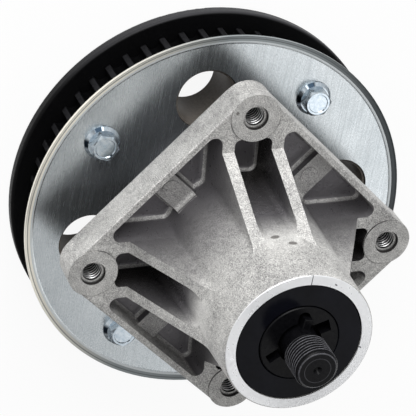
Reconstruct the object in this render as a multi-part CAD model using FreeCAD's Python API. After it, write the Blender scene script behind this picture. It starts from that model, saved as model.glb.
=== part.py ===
import FreeCAD, Part
import math
import os

os.makedirs("parts", exist_ok=True)

V = FreeCAD.Vector
UP = V(0, 0, 1)
ORIGIN = V(0, 0, 0)

# Deck flange of the die-cast housing
hole_square = 84.0
flange_half = 51.25
flange_corner_r = 11.3
pad_step = 0.3
flange_top = -pad_step
flange_bottom = -15.5
flange_foot_r = 3.0
flange_lip_r = 0.6
boss_r = 9.6
boss_groove = 0.3
mouth_r = 4.85
mouth_depth = 1.6
tap_r = 3.7
tap_depth = 13.0
tap_point = 1.2
rim_inner = 48.7
pocket_floor = -13.2
pocket_fillet = 2.3

# Ribs that run in pairs beside each diagonal
rib_inner = 7.35
rib_outer = 12.1
rib_start = 45.8
rib_run = 0.486
rib_top = 46.0
rib_draft_outer = math.tan(math.radians(8.0))
rib_draft_inner = math.tan(math.radians(3.3))
rib_root_r = 3.0
rib_lobe_r = 2.4
rim_draft = 0.027
rim_corner_r = 3.2

# Raised pads in the middle of each flange side
pad_half = 4.85
pad_top = -9.2
pad_root_r = 2.2
ejector_r = 3.7
ejector_step = 0.3
ejector_at = 39.2

# Conical body and nose
body_foot_r = 31.0
body_nose_r = 28.15
nose_z = 60.65
nose_chamfer = 0.5
tail_z = -28.5
tail_r = 29.4

# Ball bearings
bearing_bore_r = 10.0
bearing_r = 23.5
bearing_width = 14.0
nose_bearing_z = 39.5
tail_bearing_z = -24.0
race_wall = 3.4
race_inner_r = bearing_bore_r + race_wall
race_outer_r = bearing_r - race_wall
ball_circle_r = (bearing_bore_r + bearing_r) / 2
ball_r = 3.6
ball_count = 8
groove_play = 0.45
groove_r = ball_r + groove_play
cage_wall = 0.7
cage_half = 2.9
cage_gap = 0.32
seal_width = 1.1
seal_gap = 0.35
seal_inset = 0.4
shoulder_step = 0.5
shoulder_r = race_outer_r + shoulder_step
bore_wall = 2.1
bore_r = shoulder_r - bore_wall

nose_recess = 0.5
nose_face_inner_r = bearing_r + nose_recess

# Shaft and blade seat
shaft_r = 10.0
thread_r = 7.94
neck_r = 6.9
stud_end = 78.8
stud_start = 66.2
stud_chamfer = 1.1
blade_seat_z = 60.8
seat_r = 14.9
seat_thick = 3.6
seat_sleeve_r = 13.2
seat_recess_z = 55.6
seat_recess_r = 8.35
slot_length = 6.2
slot_arms = ((-4.35, -12.15, 257.0, 1.85), (3.3, 12.25, 62.0, 2.4))
lobe_half = 2.2
lobe_reach = 12.8
lobe_angle = 130.0
lug_half = 1.6
lug_reach = 10.7
lug_angle = 124.0
lug_top = 62.6
centre_drill_r = 1.6
centre_drill_depth = 1.1

# Pulley end of the shaft
key_width = 5.0
key_height = 5.0
key_length = 9.0
key_seat = 2.6
nut_across = 23.8
nut_height = 13.5
nut_flange_r = 15.0
nut_flange_height = 2.4
washer_r = 16.5
washer_thick = 2.6
shaft_tail = -62.0

# Toothed pulley
tooth_count = 56
belt_pitch = 8.0
tip_loss = 0.686
tooth_depth = 3.45
tooth_round = 2.65
tooth_tip_round = 0.6
pulley_front = -35.2
pulley_flange_front = -56.6
pulley_back = -62.7
pulley_tip_r = tooth_count * belt_pitch / (2 * math.pi) - tip_loss
belt_flange_height = 6.585
pulley_flange_r = pulley_tip_r + belt_flange_height
pulley_edge_back_r = 2.2
pulley_edge_front_r = 1.2
rim_wall = 5.165
rim_bore_r = pulley_tip_r - tooth_depth - rim_wall
web_back = -41.2
hub_r = 22.0
hub_front = -33.0
hub_back = -44.5
tube_circle_r = 51.5
tube_bore_r = 11.6
tube_wall = 2.8
tube_back = -61.0
tube_angle = 52.85

# Belt guide plate
plate_top = -34.0
plate_thick = 1.2
plate_overhang = 0.2
plate_r = pulley_flange_r + plate_overhang
plate_lip = 3.2
plate_bend_r = plate_r - plate_lip
plate_rise = 0.85
plate_hole_gap = 0.96
plate_hole_r = tube_bore_r + plate_hole_gap
plate_bore_gap = 0.6

# Flange screws
screw_inset = 1.4
screw_circle_r = rim_bore_r - screw_inset
screw_angle = 7.75
screw_flange_r = 7.0
screw_flange_edge = 0.55
screw_across = 10.0
screw_head = 5.6
screw_shank_r = 3.05
screw_length = 14.0
screw_hole_r = 3.5
screw_boss_r = 6.4
screw_boss_back = -52.0
screw_turns = (50.0, 47.0, 33.0, 21.0)

# Small retaining and sealing pieces
cap_wall = 1.2
cap_inner_gap = 0.3
cap_inset = 0.3
cap_top = nose_z - cap_inset
cap_skirt = nose_bearing_z + bearing_width + 0.5
ring_groove_depth = 1.4
ring_groove_r = bearing_r + ring_groove_depth
ring_thick = 1.5
ring_width = 3.2
shield_gap = 0.7
shield_r = bearing_r - shield_gap
shield_thick = 1.0
shield_z = -27.6
fit_gap = 0.02
press_gap = 0.01
spacer_r = 13.0


# Shared helpers
def rotated(shape, degrees):
    copy = shape.copy()
    copy.rotate(ORIGIN, UP, degrees)
    return copy


def cylinder(radius, bottom, top, x=0.0, y=0.0):
    return Part.makeCylinder(radius, top - bottom, V(x, y, bottom))


def tube(outer, inner, bottom, top):
    return cylinder(outer, bottom, top).cut(cylinder(inner, bottom - 1, top + 1))


def turned(points):
    wire = Part.makePolygon([V(r, 0, z) for r, z in points + points[:1]])
    return Part.Face(wire).revolve(ORIGIN, UP, 360)


def turned_edges(edges):
    return Part.Face(Part.Wire(edges)).revolve(ORIGIN, UP, 360)


def line(a, b):
    return Part.makeLine(a, b)


def arc(a, mid, b):
    return Part.Arc(a, mid, b).toShape()


def block(x0, x1, y0, y1, z0, z1):
    return Part.makeBox(x1 - x0, y1 - y0, z1 - z0, V(x0, y0, z0))


def hexagon(across, bottom, top, turn=0.0):
    corner = across / math.sqrt(3)
    angles = [math.radians(turn + 60 * i) for i in range(7)]
    points = [V(corner * math.cos(a), corner * math.sin(a), bottom) for a in angles]
    return Part.Face(Part.makePolygon(points)).extrude(V(0, 0, top - bottom))


def fused(shapes):
    return shapes[0].multiFuse(shapes[1:]).removeSplitter()


def save(name, shape):
    solids = shape.Solids
    shape = solids[0] if len(solids) == 1 else Part.makeCompound(solids)
    shape.exportStep("parts/" + name + ".step")


def polar(radius, degrees, z=0.0):
    a = math.radians(degrees)
    return V(radius * math.cos(a), radius * math.sin(a), z)


def body_r(z):
    share = (z - pocket_floor) / (nose_z - pocket_floor)
    return body_foot_r + (body_nose_r - body_foot_r) * share


def between(centre, a, b):
    middle = (a + b) * 0.5 - centre
    middle.normalize()
    return centre + middle * (a - centre).Length


# Section of the pocket between two rib pairs, seen on the +Y side
def side_section(z):
    depth = max(flange_top - z, -1.0)
    flank = rib_outer + depth * rib_draft_outer
    rim = rim_inner - depth * rim_draft
    body = body_r(z)
    root = rib_root_r
    corner = rim_corner_r - max(depth, 0.0) * 0.04
    root2 = math.sqrt(2.0)
    across = flank + root
    along = math.sqrt((body + root) ** 2 - across ** 2)
    root_c = V((along - across) / root2, (along + across) / root2, z)
    root_body = V(root_c.x * body / (body + root), root_c.y * body / (body + root), z)
    root_flank = V((along - flank) / root2, (along + flank) / root2, z)
    corner_c = V(rim - corner - (flank + corner) * root2, rim - corner, z)
    corner_flank = V(corner_c.x + corner / root2, corner_c.y - corner / root2, z)
    corner_rim = V(corner_c.x, rim, z)
    right = [corner_rim, corner_flank, root_flank, root_body]
    left = [V(-p.x, p.y, z) for p in right]
    far = corner_c + V(corner * math.cos(math.radians(22.5)), corner * math.sin(math.radians(22.5)), 0)
    root_mid = between(root_c, root_flank, root_body)
    edges = [
        line(left[0], right[0]),
        arc(right[0], far, right[1]),
        line(right[1], right[2]),
        arc(right[2], root_mid, right[3]),
        arc(right[3], V(0, body, z), left[3]),
        arc(left[3], V(-root_mid.x, root_mid.y, z), left[2]),
        line(left[2], left[1]),
        arc(left[1], V(-far.x, far.y, z), left[0]),
    ]
    return Part.Wire(edges)


# Section of the pocket between the two ribs of one corner, seen along +X
def corner_section(z):
    depth = max(flange_top - z, -1.0)
    flank = rib_inner - depth * rib_draft_inner
    body = body_r(z)
    root = rib_root_r
    lobe = rib_lobe_r
    boss_at = hole_square / math.sqrt(2.0)
    clear = boss_r + 0.1 + max(depth, 0.0) * 0.02
    lobe_c = V(boss_at - math.sqrt((clear + lobe) ** 2 - (flank - lobe) ** 2), flank - lobe, z)
    lobe_flank = V(lobe_c.x, flank, z)
    share = clear / (clear + lobe)
    lobe_boss = V(boss_at - (boss_at - lobe_c.x) * share, lobe_c.y * share, z)
    root_c = V(math.sqrt((body + root) ** 2 - (flank - root) ** 2), flank - root, z)
    root_flank = V(root_c.x, flank, z)
    root_body = V(root_c.x * body / (body + root), root_c.y * body / (body + root), z)
    lobe_mid = between(lobe_c, lobe_flank, lobe_boss)
    root_mid = between(root_c, root_flank, root_body)

    def low(p):
        return V(p.x, -p.y, z)

    edges = [
        line(root_flank, lobe_flank),
        arc(lobe_flank, lobe_mid, lobe_boss),
        arc(lobe_boss, V(boss_at - clear, 0, z), low(lobe_boss)),
        arc(low(lobe_boss), low(lobe_mid), low(lobe_flank)),
        line(low(lobe_flank), low(root_flank)),
        arc(low(root_flank), low(root_mid), low(root_body)),
        arc(low(root_body), V(body, 0, z), root_body),
        arc(root_body, root_mid, root_flank),
    ]
    return Part.Wire(edges)


# Section of one rib with its root fillets, seen along +X
def rib_section(z):
    share = (z - flange_top) / (rib_top - flange_top)
    inner = rib_inner + 0.4 * share
    outer = rib_outer - 0.45 * share
    body = body_r(z)
    root = rib_root_r
    out_c = V(math.sqrt((body + root) ** 2 - (outer + root) ** 2), outer + root, z)
    in_c = V(math.sqrt((body + root) ** 2 - (inner - root) ** 2), inner - root, z)
    scale = body / (body + root)
    out_body = V(out_c.x * scale, out_c.y * scale, z)
    in_body = V(in_c.x * scale, in_c.y * scale, z)
    out_flank = V(out_c.x, outer, z)
    in_flank = V(in_c.x, inner, z)
    far = 52.0
    deep = 22.0
    edges = [
        line(V(deep, inner, z), V(deep, outer, z)),
        line(V(deep, outer, z), out_body),
        arc(out_body, between(out_c, out_body, out_flank), out_flank),
        line(out_flank, V(far, outer, z)),
        line(V(far, outer, z), V(far, inner, z)),
        line(V(far, inner, z), in_flank),
        arc(in_flank, between(in_c, in_flank, in_body), in_body),
        line(in_body, V(deep, inner, z)),
    ]
    return Part.Wire(edges)


def floor_edges(solid, z):
    found = []
    for edge in solid.Edges:
        box = edge.BoundBox
        if abs(box.ZMin - z) < 0.01 and abs(box.ZMax - z) < 0.01:
            found.append(edge)
    return found


def pocket(section, fillet):
    solid = Part.makeLoft([section(pocket_floor), section(flange_top + 0.9)], True, True)
    return solid.makeFillet(fillet, floor_edges(solid, pocket_floor))


def rounded_square(half, radius, bottom, top):
    box = block(-half, half, -half, half, bottom, top)
    upright = [e for e in box.Edges if abs(e.BoundBox.ZLength - (top - bottom)) < 0.01]
    return box.makeFillet(radius, upright)


# Raised pad with its root fillets and ejector mark, on the +Y side
def middle_pad():
    root = pad_root_r
    bend = root * (1 - math.cos(math.radians(45)))
    foot = pocket_floor
    side = pad_half + 0.25

    def flank(sign):
        outside = V(sign * (side + root), 0, foot)
        inside = V(sign * side, 0, foot + root)
        return outside, V(sign * (side + bend), 0, foot + bend), inside

    left_out, left_mid, left_in = flank(-1)
    right_out, right_mid, right_in = flank(1)
    down = V(0, 0, -1)
    profile = Part.Wire([
        line(left_out + down, left_out),
        arc(left_out, left_mid, left_in),
        line(left_in, V(-pad_half, 0, pad_top)),
        line(V(-pad_half, 0, pad_top), V(pad_half, 0, pad_top)),
        line(V(pad_half, 0, pad_top), right_in),
        arc(right_in, right_mid, right_out),
        line(right_out, right_out + down),
        line(right_out + down, left_out + down),
    ])
    inner = body_r(pad_top)
    start = nose_face_inner_r
    pad = Part.Face(profile).extrude(V(0, rim_inner + 2 - start, 0))
    pad.translate(V(0, start, 0))
    low = V(0, inner + root, pad_top)
    high = V(0, inner, pad_top + root)
    slope = Part.Wire([
        line(V(0, start, pad_top - 1), low + down),
        line(low + down, low),
        arc(low, V(0, inner + bend, pad_top + bend), high),
        line(high, V(0, start, pad_top + root)),
        line(V(0, start, pad_top + root), V(0, start, pad_top - 1)),
    ])
    ramp = Part.Face(slope).extrude(V(2 * pad_half, 0, 0))
    ramp.translate(V(-pad_half, 0, 0))
    mark = cylinder(ejector_r, pad_top - 0.5, pad_top + ejector_step, 0, ejector_at)
    return fused([pad, ramp, mark])


# Flange tray with the eight pockets cut into it
def flange_tray():
    tray = rounded_square(flange_half, flange_corner_r, flange_bottom, flange_top)
    tray = tray.makeFillet(flange_foot_r, floor_edges(tray, flange_bottom))
    tray = tray.makeFillet(flange_lip_r, floor_edges(tray, flange_top))
    side = pocket(side_section, pocket_fillet).cut(middle_pad())
    corner = pocket(corner_section, pocket_fillet - 0.4)
    for i in range(4):
        tray = tray.cut(rotated(side, 90 * i))
        tray = tray.cut(rotated(corner, 45 + 90 * i))
    return tray


# Ribs that slope from the body down to the bosses
def buttress_ribs():
    start = nose_face_inner_r
    rise = (rib_start - start) / rib_run
    far = hole_square / math.sqrt(2.0) + 0.6
    outline = [
        V(0, 0, flange_top - 3),
        V(far, 0, flange_top - 3),
        V(far, 0, flange_top),
        V(rib_start, 0, flange_top),
        V(start, 0, flange_top + rise),
        V(0, 0, flange_top + rise),
        V(0, 0, flange_top - 3),
    ]
    wedge = Part.Face(Part.makePolygon(outline)).extrude(V(0, 30, 0))
    rib = Part.makeLoft([rib_section(flange_top - 0.4), rib_section(rib_top)], True, True)
    rib = rib.common(wedge)
    twin = rib.mirror(ORIGIN, V(0, 1, 0))
    return [rotated(r, 45 + 90 * i) for i in range(4) for r in (rib, twin)]


# Housing: flange tray, ribs, conical body, bosses and bearing seats
def housing():
    skin = 0.02
    body = turned([
        (0, flange_bottom),
        (body_r(flange_bottom) + skin, flange_bottom),
        (body_r(nose_z - nose_chamfer) + skin, nose_z - nose_chamfer),
        (body_r(nose_z) - nose_chamfer, nose_z),
        (0, nose_z),
    ])
    tail = turned([
        (0, tail_z),
        (tail_r - 1, tail_z),
        (tail_r, tail_z + 1),
        (body_r(flange_bottom) - 0.4, flange_bottom + 1),
        (0, flange_bottom + 1),
    ])
    at = hole_square / 2
    corners = [(sx * at, sy * at) for sx, sy in ((1, 1), (-1, 1), (-1, -1), (1, -1))]
    solid = flange_tray()
    for piece in [body, tail] + buttress_ribs():
        solid = solid.fuse(piece)
    for x, y in corners:
        around = cylinder(boss_r + boss_groove, flange_top - boss_groove, 0.0, x, y)
        solid = solid.cut(around)
        solid = solid.fuse(cylinder(boss_r, flange_bottom + flange_foot_r, 0.0, x, y))
    solid = solid.removeSplitter()
    for x, y in corners:
        solid = solid.cut(cylinder(mouth_r, -mouth_depth, 1.0, x, y))
        solid = solid.cut(cylinder(tap_r, -tap_depth, 0.0, x, y))
        solid = solid.cut(Part.makeCone(0.0, tap_r, tap_point, V(x, y, -tap_depth - tap_point)))
    nose_seat = nose_bearing_z + bearing_width
    seat = bearing_r + press_gap
    ring_low = tail_bearing_z - ring_thick - 0.1
    bore = turned([
        (0, tail_z - 1),
        (seat, tail_z - 1),
        (seat, ring_low),
        (ring_groove_r, ring_low),
        (ring_groove_r, tail_bearing_z),
        (seat, tail_bearing_z),
        (seat, tail_bearing_z + bearing_width),
        (shoulder_r, tail_bearing_z + bearing_width),
        (bore_r, tail_bearing_z + bearing_width + 3),
        (bore_r, nose_bearing_z - 3),
        (shoulder_r, nose_bearing_z),
        (seat, nose_bearing_z),
        (seat, nose_seat),
        (nose_face_inner_r, nose_seat + 0.3),
        (nose_face_inner_r, nose_z + 1),
        (0, nose_z + 1),
    ])
    return solid.cut(bore).removeSplitter()


# Ball bearing pieces at a given height of the lower face
def outer_race(z):
    mid = z + bearing_width / 2
    ring = tube(bearing_r, race_outer_r, z, z + bearing_width)
    groove = Part.makeTorus(ball_circle_r, groove_r, V(0, 0, mid), UP)
    return ring.cut(groove)


def inner_race(z):
    mid = z + bearing_width / 2
    ring = tube(race_inner_r, bearing_bore_r + press_gap, z, z + bearing_width)
    groove = Part.makeTorus(ball_circle_r, groove_r, V(0, 0, mid), UP)
    return ring.cut(groove)


def balls(z):
    mid = z + bearing_width / 2
    step = 360.0 / ball_count
    return [Part.makeSphere(ball_r, polar(ball_circle_r, i * step, mid)) for i in range(ball_count)]


def cage(z):
    mid = z + bearing_width / 2
    ring = tube(ball_circle_r + cage_wall, ball_circle_r - cage_wall, mid - cage_half - 1.4, mid + cage_half)
    step = 360.0 / ball_count
    for i in range(ball_count):
        ring = ring.cut(Part.makeSphere(ball_r + cage_gap, polar(ball_circle_r, i * step, mid)))
    return ring


def seals(z):
    inner = race_inner_r + seal_gap
    low = tube(race_outer_r - press_gap, inner, z + seal_inset, z + seal_inset + seal_width)
    top = z + bearing_width - seal_inset
    high = tube(race_outer_r - press_gap, inner, top - seal_width, top)
    return Part.makeCompound([low, high])


# Shaft with the blade seat forged on it
def shaft():
    profile = turned([
        (0, shaft_tail),
        (thread_r - 1.0, shaft_tail),
        (thread_r, shaft_tail + 1.0),
        (thread_r, hub_back + 1.2),
        (shaft_r - 0.5, hub_back + 1.2),
        (shaft_r, hub_back + 1.7),
        (shaft_r, nose_bearing_z + bearing_width),
        (seat_sleeve_r, nose_bearing_z + bearing_width),
        (seat_sleeve_r, blade_seat_z - seat_thick),
        (seat_r, blade_seat_z - seat_thick),
        (seat_r, blade_seat_z - 0.3),
        (seat_r - 0.3, blade_seat_z),
        (seat_recess_r, blade_seat_z),
        (seat_recess_r, seat_recess_z),
        (neck_r, seat_recess_z),
        (neck_r, stud_start),
        (thread_r, stud_start),
        (thread_r, stud_end - stud_chamfer),
        (thread_r - stud_chamfer, stud_end),
        (0, stud_end),
    ])
    for x, y, angle, half in slot_arms:
        arm = block(-slot_length, 0, -half, half, seat_recess_z, blade_seat_z + 1)
        arm = rotated(arm, angle)
        arm.translate(V(x, y, 0))
        arm = arm.cut(cylinder(neck_r, seat_recess_z - 1, blade_seat_z + 2))
        profile = profile.cut(arm)
    lobe_end = lobe_reach - lobe_half
    lobe = block(neck_r + 0.6, lobe_end, -lobe_half, lobe_half, seat_recess_z, blade_seat_z + 1)
    lobe = lobe.fuse(cylinder(lobe_half, seat_recess_z, blade_seat_z + 1, lobe_end, 0))
    profile = profile.cut(rotated(lobe, lobe_angle))
    lug = block(neck_r - 0.6, lug_reach, -lug_half, lug_half, seat_recess_z - 0.5, lug_top)
    lug = lug.makeChamfer(0.3, floor_edges(lug, lug_top))
    profile = profile.fuse(rotated(lug, lug_angle))
    low_r = centre_drill_r - 1.1
    drill = Part.makeCone(low_r, centre_drill_r, centre_drill_depth, V(0, 0, stud_end - centre_drill_depth))
    profile = profile.cut(drill)
    seat = block(shaft_r - key_seat, shaft_r + 1, -key_width / 2, key_width / 2, key_bottom(), key_bottom() + key_length)
    return profile.cut(seat)


def key_bottom():
    return hub_back + 2.2


def pulley_key():
    low = shaft_r - key_seat
    return block(low, low + key_height, -key_width / 2, key_width / 2, key_bottom(), key_bottom() + key_length)


# Outline of the toothed rim, one groove and one land per belt pitch
def toothed_outline(z):
    tip = tooth_count * belt_pitch / (2 * math.pi) - tip_loss
    groove = tip - tooth_depth + tooth_round
    shoulder = tip - tooth_tip_round
    reach = tooth_round + tooth_tip_round
    swing = math.acos((groove ** 2 + shoulder ** 2 - reach ** 2) / (2 * groove * shoulder))
    centre = V(shoulder * math.cos(swing), shoulder * math.sin(swing), z)
    root = V(groove, 0, z)
    meet = root + (centre - root) * (tooth_round / reach)
    peak = V(tip * math.cos(swing), tip * math.sin(swing), z)
    curve = between(centre, meet, peak)
    bottom = V(groove - tooth_round, 0, z)
    pitch = 360.0 / tooth_count
    turn = FreeCAD.Rotation(UP, pitch)
    land = polar(tip, pitch / 2, z)

    def low(p):
        return V(p.x, -p.y, z)

    next_peak = turn.multVec(low(peak))
    one = Part.Wire([
        arc(low(peak), low(curve), low(meet)),
        arc(low(meet), bottom, meet),
        arc(meet, curve, peak),
        arc(peak, land, next_peak),
    ])
    edges = []
    for i in range(tooth_count):
        edges += rotated(one, i * pitch).Edges
    return Part.Wire(edges)


# Toothed pulley with cored holes, hub and far belt flange
def pulley():
    depth = pulley_front - pulley_flange_front + 0.5
    rim = Part.Face(toothed_outline(pulley_flange_front - 0.5)).extrude(V(0, 0, depth))
    rim = rim.cut(cylinder(rim_bore_r, pulley_flange_front - 1, pulley_front + 1))
    b = pulley_edge_back_r
    f = pulley_edge_front_r
    s = math.sin(math.radians(45))
    outer = pulley_flange_r
    back = pulley_back
    front = pulley_flange_front
    edges = [
        line(V(rim_bore_r, 0, back), V(outer - b, 0, back)),
        arc(V(outer - b, 0, back), V(outer - b + b * s, 0, back + b - b * s), V(outer, 0, back + b)),
        line(V(outer, 0, back + b), V(outer, 0, front - f)),
        arc(V(outer, 0, front - f), V(outer - f + f * s, 0, front - f + f * s), V(outer - f, 0, front)),
        line(V(outer - f, 0, front), V(rim_bore_r, 0, front)),
        line(V(rim_bore_r, 0, front), V(rim_bore_r, 0, back)),
    ]
    flange = turned_edges(edges)
    web = tube(rim_bore_r + 1, shaft_r + fit_gap, web_back, pulley_front)
    hub = tube(hub_r, shaft_r + fit_gap, hub_back, hub_front)
    pieces = [rim, flange, web, hub]
    for i in range(4):
        seat = polar(tube_circle_r, tube_angle + 90 * i)
        pieces.append(cylinder(tube_bore_r + tube_wall, tube_back, pulley_front, seat.x, seat.y))
        seat = polar(screw_circle_r, screw_angle + 90 * i)
        pieces.append(cylinder(screw_boss_r, screw_boss_back, pulley_front, seat.x, seat.y))
    solid = fused(pieces)
    for i in range(4):
        seat = polar(tube_circle_r, tube_angle + 90 * i)
        solid = solid.cut(cylinder(tube_bore_r, pulley_back - 1, pulley_front + 1, seat.x, seat.y))
        seat = polar(screw_circle_r, screw_angle + 90 * i)
        solid = solid.cut(cylinder(screw_shank_r, screw_boss_back + 1.5, pulley_front + 1, seat.x, seat.y))
    top = shaft_r - key_seat + key_height + 0.2
    side = key_width / 2 + fit_gap
    return solid.cut(block(0, top, -side, side, hub_back - 1, hub_front + 1))


# Zinc-plated plate that guides the belt on the housing side
def guide_plate():
    t = plate_thick
    low = plate_top - t
    inner = hub_r + plate_bore_gap
    solid = turned([
        (inner, low),
        (plate_bend_r, low),
        (plate_r, low + plate_rise),
        (plate_r, plate_top + plate_rise),
        (plate_bend_r - 0.3, plate_top),
        (inner, plate_top),
    ])
    for i in range(4):
        seat = polar(tube_circle_r, tube_angle + 90 * i)
        solid = solid.cut(cylinder(plate_hole_r, low - 1, plate_top + 1, seat.x, seat.y))
        seat = polar(screw_circle_r, screw_angle + 90 * i)
        solid = solid.cut(cylinder(screw_hole_r, low - 1, plate_top + 1, seat.x, seat.y))
    return solid


def screw(turn):
    base = plate_top
    top = base + screw_head
    corner = screw_across / math.sqrt(3)
    flange = turned([
        (0, base),
        (screw_flange_r, base),
        (screw_flange_r, base + screw_flange_edge),
        (corner, base + 1.7),
        (0, base + 1.7),
    ])
    head = hexagon(screw_across, base + 1.0, top, turn)
    crown = turned([
        (0, base),
        (corner + 1, base),
        (corner + 1, top - 1.25),
        (screw_across / 2 - 0.35, top),
        (screw_across / 2 - 1.1, top),
        (screw_across / 2 - 1.35, top - 0.35),
        (0, top - 0.35),
    ])
    shank = cylinder(screw_shank_r - press_gap, base - screw_length, base + 0.5)
    return fused([flange, head.common(crown), shank])


def screws():
    found = []
    for i in range(4):
        one = screw(screw_turns[i])
        one.translate(polar(screw_circle_r, screw_angle + 90 * i))
        found.append(one)
    return Part.makeCompound(found)


def nut():
    top = hub_back - washer_thick
    low = top - nut_height
    corner = nut_across / math.sqrt(3)
    head = hexagon(nut_across, low, top - 1)
    crown = turned([
        (0, low),
        (nut_across / 2 - 0.4, low),
        (corner + 0.2, low + 1.6),
        (corner + 0.2, top),
        (0, top),
    ])
    flange = turned([
        (0, top - nut_flange_height),
        (corner, top - nut_flange_height),
        (nut_flange_r, top - 1.0),
        (nut_flange_r, top),
        (0, top),
    ])
    return fused([head.common(crown), flange]).cut(cylinder(thread_r + press_gap, low - 1, top + 1))


def dust_cap():
    w = cap_wall
    outer = nose_face_inner_r - press_gap
    inner = seat_r + cap_inner_gap
    return turned([
        (outer - w, cap_skirt),
        (outer, cap_skirt),
        (outer, cap_top - 0.5),
        (outer - 0.5, cap_top),
        (inner + 0.2, cap_top),
        (inner, cap_top - 0.2),
        (inner, cap_top - w),
        (outer - w, cap_top - w),
    ])


def retaining_ring():
    top = tail_bearing_z - 0.05
    ring = tube(ring_groove_r - 0.1, ring_groove_r - 0.1 - ring_width, top - ring_thick, top)
    return ring.cut(block(0, 40, -4, 4, top - 5, top + 5))


save("spindle_housing", housing())
save("nose_bearing_outer_race", outer_race(nose_bearing_z))
save("nose_bearing_inner_race", inner_race(nose_bearing_z))
save("nose_bearing_balls", Part.makeCompound(balls(nose_bearing_z)))
save("nose_bearing_cage", cage(nose_bearing_z))
save("nose_bearing_seals", seals(nose_bearing_z))
save("tail_bearing_outer_race", outer_race(tail_bearing_z))
save("tail_bearing_inner_race", inner_race(tail_bearing_z))
save("tail_bearing_balls", Part.makeCompound(balls(tail_bearing_z)))
save("tail_bearing_cage", cage(tail_bearing_z))
save("tail_bearing_seals", seals(tail_bearing_z))
save("bearing_spacer_tube", tube(spacer_r, shaft_r + fit_gap, tail_bearing_z + bearing_width, nose_bearing_z))
save("spindle_shaft", shaft())
save("nose_dust_cap", dust_cap())
save("bearing_retaining_ring", retaining_ring())
save("tail_shield", tube(shield_r, spacer_r + press_gap, shield_z, shield_z + shield_thick))
save("pulley_spacer", tube(spacer_r, shaft_r + fit_gap, hub_front, tail_bearing_z))
save("toothed_pulley", pulley())
save("pulley_key", pulley_key())
save("belt_guide_plate", guide_plate())
save("plate_flange_screws", screws())
save("shaft_washer", tube(washer_r, thread_r + 0.3, hub_back - washer_thick, hub_back))
save("shaft_flange_nut", nut())
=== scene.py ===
import math

import bpy
import numpy as np
from mathutils import Matrix, Vector


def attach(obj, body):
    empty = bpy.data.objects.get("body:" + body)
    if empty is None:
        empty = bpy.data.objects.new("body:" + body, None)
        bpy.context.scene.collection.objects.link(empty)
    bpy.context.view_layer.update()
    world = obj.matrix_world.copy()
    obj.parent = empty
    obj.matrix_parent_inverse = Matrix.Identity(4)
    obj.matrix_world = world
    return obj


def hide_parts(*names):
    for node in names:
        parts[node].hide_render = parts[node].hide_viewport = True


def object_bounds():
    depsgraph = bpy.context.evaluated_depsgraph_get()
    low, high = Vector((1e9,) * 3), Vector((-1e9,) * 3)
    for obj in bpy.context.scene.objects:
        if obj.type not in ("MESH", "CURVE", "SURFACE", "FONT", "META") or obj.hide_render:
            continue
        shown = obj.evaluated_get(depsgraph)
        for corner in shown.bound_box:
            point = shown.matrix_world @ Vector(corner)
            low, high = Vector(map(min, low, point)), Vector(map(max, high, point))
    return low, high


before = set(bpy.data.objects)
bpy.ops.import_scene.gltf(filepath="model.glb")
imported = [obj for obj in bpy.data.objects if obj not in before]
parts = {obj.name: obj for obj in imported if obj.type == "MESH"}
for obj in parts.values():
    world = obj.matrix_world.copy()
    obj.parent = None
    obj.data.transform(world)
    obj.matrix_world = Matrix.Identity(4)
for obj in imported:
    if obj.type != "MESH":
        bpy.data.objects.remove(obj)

mm = 0.001
deckHoleOffset = 42.0  # from the axis to a deck hole, along each side of the flange
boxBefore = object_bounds()
print("stage: frame loaded")

# Kinds of shader node, by short names
mathKind = "ShaderNodeMath"
vectorKind = "ShaderNodeVectorMath"
rangeKind = "ShaderNodeMapRange"
noiseKind = "ShaderNodeTexNoise"
mixKind = "ShaderNodeMix"
bumpKind = "ShaderNodeBump"
mappingKind = "ShaderNodeMapping"
splitKind = "ShaderNodeSeparateXYZ"


# Colours are written as sRGB and used as linear light
def linear(code):
    values = [int(code[i : i + 2], 16) / 255 for i in (1, 3, 5)]
    return tuple(v / 12.92 if v <= 0.04045 else ((v + 0.055) / 1.055) ** 2.4 for v in values) + (1.0,)


def addNode(tree, kind, inputs=None, output=0, **settings):
    node = tree.nodes.new(kind)
    for name, value in settings.items():
        setattr(node, name, value)
    for socket, value in (inputs or {}).items():
        if isinstance(value, bpy.types.NodeSocket):
            tree.links.new(value, node.inputs[socket])
        else:
            node.inputs[socket].default_value = value
    return node.outputs if output is None else node.outputs[output]


# A material with its shader, and a position in millimetres to build on
def startMaterial(name):
    material = bpy.data.materials.new(name)
    material.use_nodes = True
    tree = material.node_tree
    shader = tree.nodes["Principled BSDF"]
    coordinates = tree.nodes.new("ShaderNodeTexCoord").outputs["Object"]
    place = addNode(tree, mappingKind, {0: coordinates, 3: (1000.0, 1000.0, 1000.0)})
    return material, tree, shader, place


def connect(tree, shader, **sockets):
    for name, value in sockets.items():
        target = shader.inputs[name.replace("_", " ")]
        if isinstance(value, bpy.types.NodeSocket):
            tree.links.new(value, target)
        else:
            target.default_value = value


# A mask that is 1 at a place in millimetres and fades to 0 at its reach along each axis
def spot(tree, place, centre, reach, soft=0.35):
    offset = addNode(tree, vectorKind, {0: place, 1: centre}, operation="SUBTRACT")
    offset = addNode(tree, vectorKind, {0: offset, 1: reach}, operation="DIVIDE")
    length = addNode(tree, vectorKind, {0: offset}, output=1, operation="LENGTH")
    return addNode(tree, rangeKind, {0: length, 1: 1.0, 2: 1.0 - soft, 3: 0.0, 4: 1.0})


# The largest of several masks
def anyOf(tree, masks):
    total = masks[0]
    for mask in masks[1:]:
        total = addNode(tree, mathKind, {0: total, 1: mask}, operation="MAXIMUM")
    return total


# Distance from the shaft's axis: the length of the place's x and y
def axisRadius(tree, place):
    flat = addNode(tree, vectorKind, {0: place, 1: (1.0, 1.0, 0.0)}, operation="MULTIPLY")
    return addNode(tree, vectorKind, {0: flat}, output=1, operation="LENGTH")


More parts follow.
